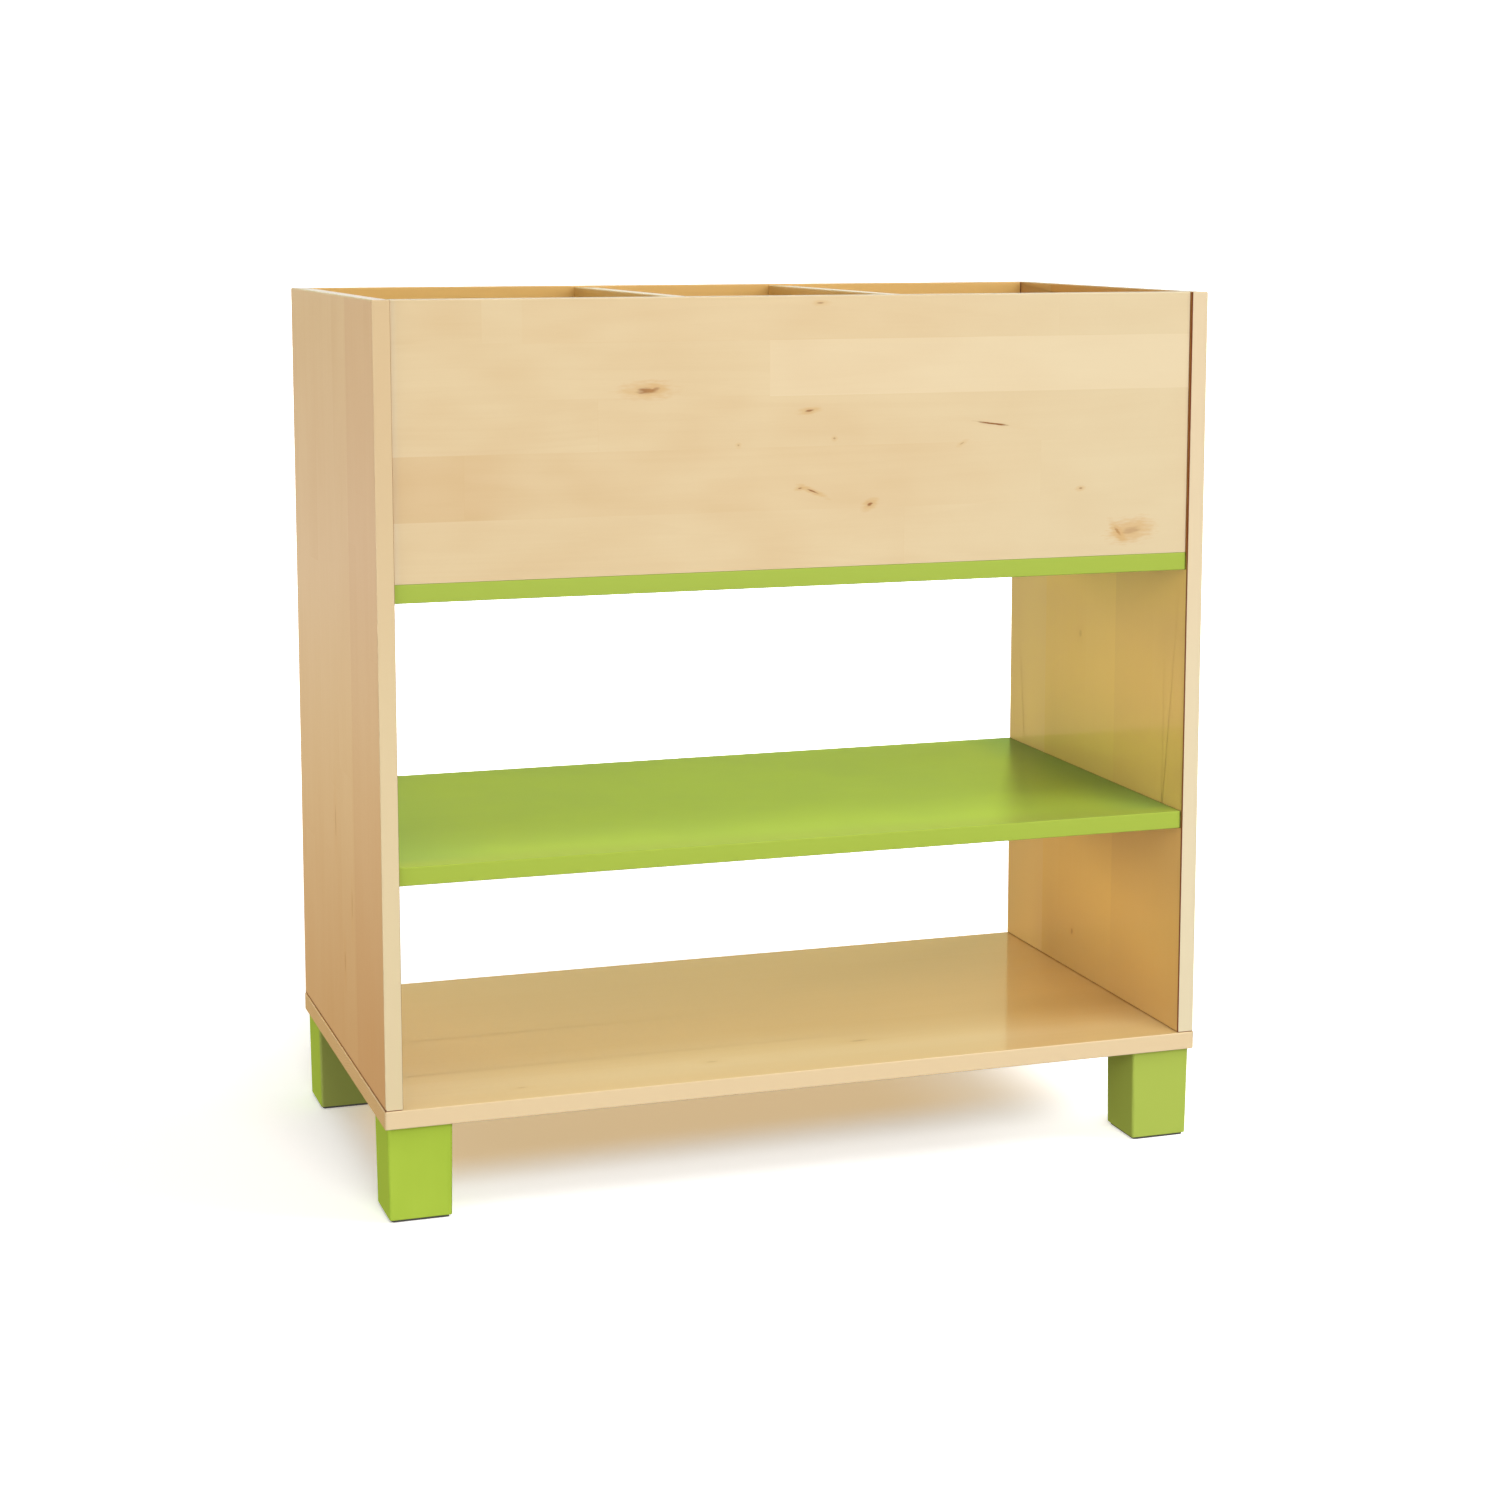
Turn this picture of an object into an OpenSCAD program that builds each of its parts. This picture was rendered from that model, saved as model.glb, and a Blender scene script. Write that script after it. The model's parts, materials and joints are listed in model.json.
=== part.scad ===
// Children's bookcase: two side panels on a bottom board with four legs, a middle shelf,
// and on top a book box with a front, a back and two dividers.
// The front is towards -Y, +Z is up and the origin is on the floor under the middle.

/* [Cabinet] */
// Width over the outer faces of the side panels
body_w = 900; // [700:10:1200]
// Depth of the side panels, from front to back
body_d = 468; // [380:2:560]
// Thickness of the side panels, the box panels and the dividers
panel_t = 18; // [16:1:25]
// Radius that eases the long edges of every board
edge_r = 1; // [0.5:0.25:3]

/* [Bottom board] */
// Thickness of the bottom board
base_t = 19; // [18:1:30]
// How far the bottom board stands out past the side panels all round
base_overhang = 1; // [0:0.5:6]
// Radius of the bottom board's four corners, seen from above
base_corner_r = 3; // [1:0.5:8]

/* [Shelf spaces] */
// Thickness of the middle shelf and of the box floor
shelf_t = 19; // [18:1:25]
// Clear height between the bottom board and the middle shelf
lower_gap = 229; // [150:1:350]
// Clear height between the middle shelf and the box floor
upper_gap = 265; // [150:1:350]
// How far the shelf, the box floor and the box front stand back from the front edges
front_setback = 4; // [2:1:15]

/* [Book box] */
// Height of the box front and back above the box floor
box_h = 279; // [200:1:350]
// Clear width of the middle compartment
middle_w = 218; // [120:2:300]
// How far the tops of the dividers lie below the rim of the box
divider_drop = 1.5; // [0:0.5:10]
// Open joint at each end of a divider
divider_gap = 0.5; // [0.3:0.1:0.8]

/* [Legs] */
// Height of the wooden leg
leg_h = 97.5; // [70:0.5:150]
// Width of a leg's square top
leg_top_w = 67; // [55:1:90]
// Width of a leg's square foot
leg_foot_w = 64.6; // [50:0.2:67]
// Radius of a leg's upright edges
leg_edge_r = 3; // [1:0.5:8]
// Distance from the bottom board's end to the leg
leg_inset_x = 3.5; // [2:0.5:40]
// Distance from the bottom board's front or rear edge to the leg
leg_inset_y = 6; // [2:0.5:40]
// Thickness of the glide under each leg
glide_t = 2.5; // [2.3:0.1:5]
// How far a glide stands in from the edge of the leg's foot
glide_inset = 2.5; // [1:0.5:10]

/* [Leg fixings] */
// Diameter of the hanger bolt between leg and bottom board
hanger_d = 8; // [6:1:10]
// Length of the hanger bolt inside the leg
hanger_leg_l = 35; // [25:1:45]
// Outer diameter of the threaded insert in the bottom board
insert_d = 12; // [11:0.5:14]
// Length of the threaded insert
insert_l = 12; // [8:1:14]
// Distance of the steadying dowel from the hanger bolt
leg_dowel_offset = 18; // [15:1:22]

/* [Dowels] */
// Diameter of the wooden dowels
dowel_d = 8; // [6:1:10]
// Length of the wooden dowels
dowel_l = 30; // [25:1:40]
// Length of a dowel inside the face that it stands in
dowel_seat = 10; // [8:1:12]
// Length of the cone on each end of a dowel
dowel_tip = 1; // [0.5:0.5:2]

/* [Base screws] */
// Number of screws that join the bottom board to each side panel
base_screw_count = 3; // [2:1:5]
// Distance of the outer base screws from the side panel's front and rear edges
base_screw_margin = 110; // [90:5:150]
// Distance of the base dowels from the side panel's front and rear edges
base_dowel_margin = 40; // [25:1:60]
// Diameter of a base screw's head
base_head_d = 10; // [9:0.5:12]
// Height of a base screw's head
base_head_h = 4; // [3:0.5:5]
// Diameter of a base screw's plain shank
base_shank_d = 7; // [6:0.5:8]
// Core diameter of a base screw's thread
base_thread_d = 5; // [4:0.5:5.5]
// Overall length of a base screw
base_screw_l = 50; // [45:1:60]
// Width across the corners of a base screw's hexagonal socket
base_hex_w = 4.6; // [3:0.2:5]

/* [Shelf fittings] */
// Distance of the cam locks from a shelf's front and rear edges
cam_margin = 50; // [35:1:90]
// Distance of each shelf dowel from the cam lock beside it
cam_pitch = 32; // [20:1:60]
// Diameter of a cam lock
cam_d = 15; // [12:1:15]
// How far a cam lock reaches past the bolt's axis
cam_cover = 3; // [3:0.5:4]
// Distance of a cam lock's axis from the shelf's end
cam_reach = 34; // [24:1:40]
// Diameter of the cam bolt's plain shank
cam_bolt_d = 7; // [6:0.5:8]
// Core diameter of the cam bolt's thread
cam_thread_d = 5; // [4:0.5:6]
// Length of the cam bolt's thread in the side panel
cam_thread_l = 11; // [9:1:13]
// Diameter of the cam bolt's neck
cam_neck_d = 4; // [3:0.5:4.5]
// Diameter of the cam bolt's head
cam_head_d = 5.6; // [5:0.2:6.4]

/* [Box fixings] */
// Number of screws from the box floor up into the box front, and into the back
box_screw_count = 4; // [2:1:6]
// Distance of the outer box screws from the side panels
box_screw_margin = 60; // [50:5:100]
// Distance of a divider's screws from the divider's ends
divider_screw_margin = 95; // [60:5:130]
// Diameter of a box screw's shank
box_screw_d = 4; // [3.5:0.5:5]
// Length of a box screw
box_screw_l = 45; // [40:1:50]
// Diameter of a box screw's countersunk head
box_head_d = 8; // [7:0.5:9]
// Distance of the outer dowels from the top and bottom of a box panel's end
box_dowel_margin = 40; // [30:1:60]

/* [Glide screws] */
// Diameter of a glide screw's shank
glide_screw_d = 3.5; // [3:0.5:4]
// Length of a glide screw
glide_screw_l = 16; // [12:1:20]
// Diameter of a glide screw's countersunk head
glide_head_d = 7; // [6:0.5:8]
// How far a glide screw's head is sunk into the glide
glide_screw_sink = 0.3; // [0.2:0.1:0.5]

/* [Clearances] */
// Radial clearance of every dowel, bolt, screw and fitting in its bore
bore_fit = 0.1; // [0.05:0.05:0.2]
// Spare depth past the end of every dowel, bolt and screw
bore_spare = 0.5; // [0.3:0.1:1]

/* [Hidden] */
$fn = 48;

wood = "#E3C595";
green = "#A6C443";
steel = "#B4B7BA";
zinc = "#C4C2BB";
beech = "#D2AC7C";
nylon = "#4A4743";

// Straight steps in each rounded corner, and how far a cutter runs past a face
arc_steps = 4;
cut = 1;

// Levels from the floor up
base_z = glide_t + leg_h;
base_top = base_z + base_t;
shelf_z = base_top + lower_gap;
shelf_top = shelf_z + shelf_t;
floor_z = shelf_top + upper_gap;
floor_top = floor_z + shelf_t;
rim_z = floor_top + box_h;

// Planes from left to right and from front to back
outer_x = body_w / 2;
inner_x = outer_x - panel_t;
side_mid_x = outer_x - panel_t / 2;
divider_x = (middle_w + panel_t) / 2;
front_y = -body_d / 2;
rear_y = body_d / 2;
face_y = front_y + front_setback;
box_in_front_y = face_y + panel_t;
box_in_rear_y = rear_y - panel_t;
shelf_d = rear_y - face_y;
divider_h = box_h - divider_drop;

// Bottom board and the middles of the legs
base_w = body_w + 2 * base_overhang;
base_d = body_d + 2 * base_overhang;
leg_x = base_w / 2 - leg_inset_x - leg_top_w / 2;
leg_y = base_d / 2 - leg_inset_y - leg_top_w / 2;
glide_w = leg_foot_w - 2 * glide_inset;

// Rows of fixings
base_screw_ys = spread(front_y + base_screw_margin, rear_y - base_screw_margin, base_screw_count);
base_dowel_ys = [front_y + base_dowel_margin, rear_y - base_dowel_margin];
cam_ys = [face_y + cam_margin, rear_y - cam_margin];
shelf_dowel_ys = [cam_ys[0] + cam_pitch, cam_ys[1] - cam_pitch];
box_panel_ys = [face_y + panel_t / 2, rear_y - panel_t / 2];
box_dowel_zs = spread(floor_top + box_dowel_margin, rim_z - box_dowel_margin, 3);
divider_dowel_zs = [box_dowel_zs[0], box_dowel_zs[2]];
box_screw_xs = spread(-inner_x + box_screw_margin, inner_x - box_screw_margin, box_screw_count);
divider_screw_ys = [box_in_front_y + divider_screw_margin, box_in_rear_y - divider_screw_margin];

// Cam lock and bolt details that follow from their sizes
cam_h = shelf_t / 2 + cam_cover;
cam_collar_sink = 1;
cam_neck_l = cam_d / 2 + 2;
cam_head_l = 3;
cam_pocket_fit = 0.3;
driver_slot_w = 1.2;
driver_slot_depth = 1.5;
base_shank_into = 1.5;
base_hex_depth = 2.5;

// Evenly spaced values from a to b
function spread(a, b, count) = [for (i = [0 : count - 1]) a + (b - a) * i / (count - 1)];

// A quarter circle of points, or the bare corner where the radius is zero
function corner_arc(centre, r, start) =
    r > 0
        ? [for (i = [0 : arc_steps]) centre + r * [cos(start + 90 * i / arc_steps),
                                                   sin(start + 90 * i / arc_steps)]]
        : [centre];

// A rectangle's outline with four corner radii, anticlockwise from the low left one
function outline(w, h, r) = concat(
    corner_arc([r[0], r[0]], r[0], 180),
    corner_arc([w - r[1], r[1]], r[1], 270),
    corner_arc([w - r[2], h - r[2]], r[2], 0),
    corner_arc([r[3], h - r[3]], r[3], 90));

// The same radius at all four corners, or only at the two upper ones
function all_round(r) = [r, r, r, r];
function upper_two(r) = [0, 0, r, r];

// Boards whose outline runs along X, Y or Z, from the corner at the origin
module board_along_x(size, r) {
    rotate([90, 0, 90]) linear_extrude(size.x) polygon(outline(size.y, size.z, r));
}
module board_along_y(size, r) {
    translate([0, size.y, 0]) rotate([90, 0, 0])
        linear_extrude(size.y) polygon(outline(size.x, size.z, r));
}
module board_along_z(size, r) {
    linear_extrude(size.z) polygon(outline(size.x, size.y, r));
}

// A board with all its edges eased and a plan radius at its corners
module eased_board(size, plan_r) {
    intersection() {
        board_along_x(size, all_round(edge_r));
        board_along_y(size, all_round(edge_r));
        board_along_z(size, all_round(plan_r));
    }
}

// Copies of a fixing at the ends of a cross board: x = 0 is the side panel's inner face,
// +X runs into the board and -X into the side panel
module at_ends(y_list, ends = [0, 1]) {
    for (end = ends, y = y_list)
        mirror([end, 0, 0]) translate([-inner_x, y, 0]) children();
}

// Copies of a leg's fixing over the middle of each leg
module at_legs() {
    for (side = [0, 1], y = [-leg_y, leg_y])
        mirror([side, 0, 0]) translate([-leg_x, y, 0]) children();
}

// Wooden dowel with coned ends, standing on the origin
module dowel() {
    tip_d = dowel_d - 2 * dowel_tip;
    cylinder(d1 = tip_d, d2 = dowel_d, h = dowel_tip);
    translate([0, 0, dowel_tip]) cylinder(d = dowel_d, h = dowel_l - 2 * dowel_tip);
    translate([0, 0, dowel_l - dowel_tip]) cylinder(d1 = dowel_d, d2 = tip_d, h = dowel_tip);
}
module dowel_bore() {
    translate([0, 0, -bore_spare])
        cylinder(d = dowel_d + 2 * bore_fit, h = dowel_l + 2 * bore_spare);
}

// Turns an upright dowel to lie along +X or along +Y, seated in the face at the origin
module seat_along_x() { translate([-dowel_seat, 0, 0]) rotate([0, 90, 0]) children(); }
module seat_along_y() { translate([0, -dowel_seat, 0]) rotate([-90, 0, 0]) children(); }

// Cross-shaped driver recess, cut upwards from the origin
module driver_cross(w) {
    for (turn = [0, 90])
        rotate([0, 0, turn])
            translate([-w / 2, -driver_slot_w / 2, -cut]) cube([w, driver_slot_w, driver_slot_depth + cut]);
}

// Cam lock in the underside of a cross board, and the bolt that it pulls on
module cam_lock() {
    translate([cam_reach, 0, -shelf_t / 2]) difference() {
        cylinder(d = cam_d, h = cam_h);
        translate([-cam_d, 0, shelf_t / 2]) rotate([0, 90, 0])
            cylinder(d = cam_head_d + 2 * cam_pocket_fit, h = cam_d + cam_head_l);
        driver_cross(cam_d / 2);
    }
}
module cam_bolt() {
    neck_x = cam_reach - cam_neck_l;
    translate([-cam_thread_l, 0, 0]) rotate([0, 90, 0])
        cylinder(d = cam_thread_d, h = cam_thread_l - cam_collar_sink);
    translate([-cam_collar_sink, 0, 0]) rotate([0, 90, 0])
        cylinder(d = cam_bolt_d, h = neck_x + cam_collar_sink);
    translate([neck_x, 0, 0]) rotate([0, 90, 0]) cylinder(d = cam_neck_d, h = cam_neck_l);
    translate([cam_reach - cam_head_l / 2, 0, 0]) rotate([0, 90, 0])
        cylinder(d = cam_head_d, h = cam_head_l);
}
module cam_bores() {
    thread_end = cam_thread_l + bore_spare;
    collar_start = cam_collar_sink;
    translate([-thread_end, 0, 0]) rotate([0, 90, 0])
        cylinder(d = cam_thread_d + 2 * bore_fit, h = thread_end);
    translate([-collar_start, 0, 0]) rotate([0, 90, 0])
        cylinder(d = cam_bolt_d + 2 * bore_fit, h = cam_reach + collar_start);
    translate([cam_reach, 0, -shelf_t / 2 - cut])
        cylinder(d = cam_d + 2 * bore_fit, h = cam_h + bore_spare + cut);
}

// Every bore at the ends of the shelf or the box floor whose underside is at z
module cross_board_bores(z, ends = [0, 1]) {
    translate([0, 0, z + shelf_t / 2]) {
        at_ends(cam_ys, ends) cam_bores();
        at_ends(shelf_dowel_ys, ends) seat_along_x() dowel_bore();
    }
}

// Dowels, or their bores, between the box panels and the side panels
module at_box_panel_ends(ends = [0, 1]) {
    for (z = box_dowel_zs)
        translate([0, 0, z]) at_ends(box_panel_ys, ends) seat_along_x() children();
}

// Dowels, or their bores, between the dividers and the box front and back
module at_divider_ends() {
    for (x = [-divider_x, divider_x], z = divider_dowel_zs) {
        translate([x, box_in_front_y, z]) seat_along_y() children();
        translate([x, box_in_rear_y, z]) mirror([0, 1, 0]) seat_along_y() children();
    }
}

// Screw from below a side panel, with its head in the bottom board
module base_screw() {
    difference() {
        union() {
            cylinder(d = base_head_d, h = base_head_h);
            cylinder(d = base_shank_d, h = base_t + base_shank_into);
            cylinder(d = base_thread_d, h = base_screw_l);
        }
        translate([0, 0, -cut]) cylinder(d = base_hex_w, h = base_hex_depth + cut, $fn = 6);
    }
}
module base_screw_bore() {
    translate([0, 0, -cut])
        cylinder(d = base_head_d + 2 * bore_fit, h = base_head_h + cut);
    cylinder(d = base_shank_d + 2 * bore_fit, h = base_t + base_shank_into);
    cylinder(d = base_thread_d + 2 * bore_fit, h = base_screw_l + bore_spare);
}
module at_base_screws(sides = [0, 1]) {
    for (side = sides, y = base_screw_ys)
        mirror([side, 0, 0]) translate([-side_mid_x, y, base_z]) children();
}
module at_base_dowels(sides = [0, 1]) {
    for (side = sides, y = base_dowel_ys)
        mirror([side, 0, 0]) translate([-side_mid_x, y, base_top - dowel_seat]) children();
}

// Countersunk wood screw standing on its head, and the bore for it
module wood_screw(d, l, head_d) {
    head_h = (head_d - d) / 2;
    difference() {
        union() {
            cylinder(d1 = head_d, d2 = d, h = head_h);
            cylinder(d = d, h = l);
        }
        driver_cross(head_d / 2);
    }
}
module wood_screw_bore(d, l, head_d) {
    head_h = (head_d - d) / 2;
    translate([0, 0, -cut]) cylinder(d = head_d + 2 * bore_fit, h = cut);
    cylinder(d1 = head_d + 2 * bore_fit, d2 = d + 2 * bore_fit, h = head_h);
    cylinder(d = d + 2 * bore_fit, h = l + bore_spare);
}
module at_box_screws() {
    for (x = box_screw_xs, y = box_panel_ys) translate([x, y, floor_z]) children();
}
module at_divider_screws() {
    for (x = [-divider_x, divider_x], y = divider_screw_ys) translate([x, y, floor_z]) children();
}

// Left side panel; the right one is its mirror image
module side_panel() {
    color(wood) difference() {
        translate([-outer_x, front_y, base_top])
            eased_board([panel_t, body_d, rim_z - base_top], edge_r);
        cross_board_bores(shelf_z, [0]);
        cross_board_bores(floor_z, [0]);
        at_box_panel_ends([0]) dowel_bore();
        at_base_screws([0]) base_screw_bore();
        at_base_dowels([0]) dowel_bore();
    }
}
module left_side_panel() { side_panel(); }
module right_side_panel() { mirror([1, 0, 0]) side_panel(); }

module bottom_board() {
    color(wood) difference() {
        translate([-base_w / 2, -base_d / 2, base_z])
            eased_board([base_w, base_d, base_t], base_corner_r);
        at_base_screws() base_screw_bore();
        at_base_dowels() dowel_bore();
        at_legs() {
            translate([0, 0, base_z - cut])
                cylinder(d = insert_d + 2 * bore_fit, h = insert_l + bore_spare + cut);
            leg_dowel_place() dowel_bore();
        }
    }
}

// Middle shelf and box floor: the same board at two levels
module cross_board(z) {
    difference() {
        translate([-inner_x, face_y, z])
            board_along_x([2 * inner_x, shelf_d, shelf_t], all_round(edge_r));
        cross_board_bores(z);
    }
}
module middle_shelf() { color(green) cross_board(shelf_z); }
module box_floor() {
    color(green) difference() {
        cross_board(floor_z);
        at_box_screws() wood_screw_bore(box_screw_d, box_screw_l, box_head_d);
        at_divider_screws() wood_screw_bore(box_screw_d, box_screw_l, box_head_d);
    }
}

// Box front or back, whose front face is at y
module box_panel(y) {
    color(wood) difference() {
        translate([-inner_x, y, floor_top])
            board_along_x([2 * inner_x, panel_t, box_h], upper_two(edge_r));
        at_box_panel_ends() dowel_bore();
        at_divider_ends() dowel_bore();
        at_box_screws() wood_screw_bore(box_screw_d, box_screw_l, box_head_d);
    }
}
module box_front_panel() { box_panel(face_y); }
module box_back_panel() { box_panel(box_in_rear_y); }

// Divider whose middle plane is at x
module divider(x) {
    divider_l = box_in_rear_y - box_in_front_y - 2 * divider_gap;
    color(wood) difference() {
        translate([x - panel_t / 2, box_in_front_y + divider_gap, floor_top])
            board_along_y([panel_t, divider_l, divider_h], upper_two(edge_r));
        at_divider_ends() dowel_bore();
        at_divider_screws() wood_screw_bore(box_screw_d, box_screw_l, box_head_d);
    }
}
module left_divider() { divider(-divider_x); }
module right_divider() { divider(divider_x); }

// A square with rounded corners, centred on the origin
module rounded_square(w, r) {
    translate([-w / 2, -w / 2]) polygon(outline(w, w, all_round(r)));
}

// Rear left leg at its place; the others are its mirror images
module leg() {
    color(green) difference() {
        translate([-leg_x, leg_y, base_z]) mirror([0, 0, 1])
            linear_extrude(leg_h, scale = leg_foot_w / leg_top_w) rounded_square(leg_top_w, leg_edge_r);
        translate([-leg_x, leg_y, base_z - hanger_leg_l - bore_spare])
            cylinder(d = hanger_d + 2 * bore_fit, h = hanger_leg_l + bore_spare + cut);
        at_legs() leg_dowel_place() dowel_bore();
        at_legs() glide_screw_place() wood_screw_bore(glide_screw_d, glide_screw_l, glide_head_d);
    }
}
module rear_left_leg() { leg(); }
module rear_right_leg() { mirror([1, 0, 0]) leg(); }
module front_left_leg() { mirror([0, 1, 0]) leg(); }
module front_right_leg() { mirror([0, 1, 0]) mirror([1, 0, 0]) leg(); }

module glide() {
    color(nylon) difference() {
        translate([-leg_x, leg_y, 0])
            linear_extrude(glide_t) rounded_square(glide_w, leg_edge_r);
        at_legs() glide_screw_place() wood_screw_bore(glide_screw_d, glide_screw_l, glide_head_d);
    }
}
module rear_left_glide() { glide(); }
module rear_right_glide() { mirror([1, 0, 0]) glide(); }
module front_left_glide() { mirror([0, 1, 0]) glide(); }
module front_right_glide() { mirror([0, 1, 0]) mirror([1, 0, 0]) glide(); }

// Places of a leg's fixings, measured from the leg's middle
module leg_dowel_place() { translate([leg_dowel_offset, 0, base_z + dowel_seat - dowel_l]) children(); }
module glide_screw_place() { translate([0, 0, glide_screw_sink]) children(); }

// Fixings, each kind as a group of separate solids
module glide_screws() {
    color(steel) at_legs() glide_screw_place()
        wood_screw(glide_screw_d, glide_screw_l, glide_head_d);
}
module hanger_bolts() {
    color(steel) at_legs() translate([0, 0, base_z - hanger_leg_l])
        cylinder(d = hanger_d, h = hanger_leg_l + insert_l);
}
module threaded_inserts() {
    color(zinc) at_legs() translate([0, 0, base_z]) difference() {
        cylinder(d = insert_d, h = insert_l);
        translate([0, 0, -cut]) cylinder(d = hanger_d + 2 * bore_fit, h = insert_l + 2 * cut);
    }
}
module leg_dowels() { color(beech) at_legs() leg_dowel_place() dowel(); }
module base_screws() { color(steel) at_base_screws() base_screw(); }
module base_dowels() { color(beech) at_base_dowels() dowel(); }

// Fittings at the ends of the cross board whose underside is at z
module cam_locks(z) { color(zinc) translate([0, 0, z + shelf_t / 2]) at_ends(cam_ys) cam_lock(); }
module cam_bolts(z) { color(steel) translate([0, 0, z + shelf_t / 2]) at_ends(cam_ys) cam_bolt(); }
module end_dowels(z) {
    color(beech) translate([0, 0, z + shelf_t / 2]) at_ends(shelf_dowel_ys) seat_along_x() dowel();
}
module shelf_cam_locks() { cam_locks(shelf_z); }
module shelf_cam_bolts() { cam_bolts(shelf_z); }
module shelf_dowels() { end_dowels(shelf_z); }
module floor_cam_locks() { cam_locks(floor_z); }
module floor_cam_bolts() { cam_bolts(floor_z); }
module floor_dowels() { end_dowels(floor_z); }

module box_panel_dowels() { color(beech) at_box_panel_ends() dowel(); }
module divider_dowels() { color(beech) at_divider_ends() dowel(); }
module box_screws() { color(steel) at_box_screws() wood_screw(box_screw_d, box_screw_l, box_head_d); }
module divider_screws() {
    color(steel) at_divider_screws() wood_screw(box_screw_d, box_screw_l, box_head_d);
}

left_side_panel();
right_side_panel();
bottom_board();
middle_shelf();
box_floor();
box_front_panel();
box_back_panel();
left_divider();
right_divider();
front_left_leg();
front_right_leg();
rear_left_leg();
rear_right_leg();
front_left_glide();
front_right_glide();
rear_left_glide();
rear_right_glide();
glide_screws();
hanger_bolts();
threaded_inserts();
leg_dowels();
base_screws();
base_dowels();
shelf_cam_locks();
shelf_cam_bolts();
shelf_dowels();
floor_cam_locks();
floor_cam_bolts();
floor_dowels();
box_panel_dowels();
divider_dowels();
box_screws();
divider_screws();
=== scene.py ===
import json
import math
import random

import bmesh
import bpy
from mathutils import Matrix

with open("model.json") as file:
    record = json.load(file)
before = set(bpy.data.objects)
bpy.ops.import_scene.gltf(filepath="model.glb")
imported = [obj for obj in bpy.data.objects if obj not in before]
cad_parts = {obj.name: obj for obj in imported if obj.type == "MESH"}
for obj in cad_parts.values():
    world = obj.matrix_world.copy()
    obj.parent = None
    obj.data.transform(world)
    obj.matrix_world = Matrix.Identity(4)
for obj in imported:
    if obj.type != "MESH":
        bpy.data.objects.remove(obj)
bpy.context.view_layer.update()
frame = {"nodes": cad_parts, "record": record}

# A low bookcase for children: a clear-lacquered cabinet of edge-glued staves, with two
# boards and four legs in green lacquer. Metres, front towards -Y, floor at z = 0.

MM = 0.001

# Camera: place, turn to the right and tilt downwards in radians, lens and sensor in
# millimetres, and upward shift as a share of the sensor's width
CAMERA_PLACE = (-0.9852, -2.9853, 1.0169)
CAMERA_TURN = 0.3229
CAMERA_TILT = 0.1330
CAMERA_LENS = 68.74
CAMERA_SENSOR = 36.0
CAMERA_SHIFT = -0.105

# Faces and sizes of the boards, which stains, joints and staves line up with. The side
# panels stand at PANEL_FOOT on the bottom board, and the box at BOX_FOOT on the box floor.
PANEL_INNER = 0.432
PANEL_OUTER = 0.450
PANEL_FRONT = -0.234
PANEL_DEPTH = 0.468
PANEL_FOOT = 0.119
BOARD_FRONT = -0.235
BOARD_DEPTH = 0.470
BOX_FRONT = -0.230
BOX_FOOT = 0.651
BOX_HEIGHT = 0.279
DIVIDER_HEIGHT = 0.2775
SHELF_FRONT = -0.230
SHELF_TOP = 0.367


# Shader maths


def rgb(red, green, blue):
    """Linear colour of a screen colour given out of 255."""
    parts = [part / 255.0 for part in (red, green, blue)]
    linear = [p / 12.92 if p <= 0.04045 else ((p + 0.055) / 1.055) ** 2.4 for p in parts]
    return (*linear, 1.0)


class Shade:
    """An output socket of a material or of the world. Arithmetic on it adds Math nodes."""

    def __init__(self, paint, socket):
        self.paint = paint
        self.socket = socket

    def output(self, name):
        """Another output of the same node."""
        return Shade(self.paint, self.socket.node.outputs[name])

    def math(self, operation, *values):
        return self.paint.node("ShaderNodeMath", {"operation": operation}, dict(enumerate(values)))

    def __add__(self, other):
        return self.math("ADD", self, other)

    __radd__ = __add__

    def __sub__(self, other):
        return self.math("SUBTRACT", self, other)

    def __rsub__(self, other):
        return self.math("SUBTRACT", other, self)

    def __mul__(self, other):
        return self.math("MULTIPLY", self, other)

    __rmul__ = __mul__

    def __truediv__(self, other):
        return self.math("DIVIDE", self, other)

    def __pow__(self, other):
        return self.math("POWER", self, other)

    def __abs__(self):
        return self.math("ABSOLUTE", self)

    def floor(self):
        return self.math("FLOOR", self)

    def fraction(self):
        return self.math("FRACT", self)

    def swing(self, reach):
        """A value of 0 to 1, moved so that it swings about 0 over this reach."""
        return (self - 0.5) * reach

    def step(self, low, high):
        """0 at low and 1 at high, with a soft passage between them."""
        settings = {"interpolation_type": "SMOOTHSTEP"}
        sockets = {0: self, 1: low, 2: high, 3: 0.0, 4: 1.0}
        return self.paint.node("ShaderNodeMapRange", settings, sockets)


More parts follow.
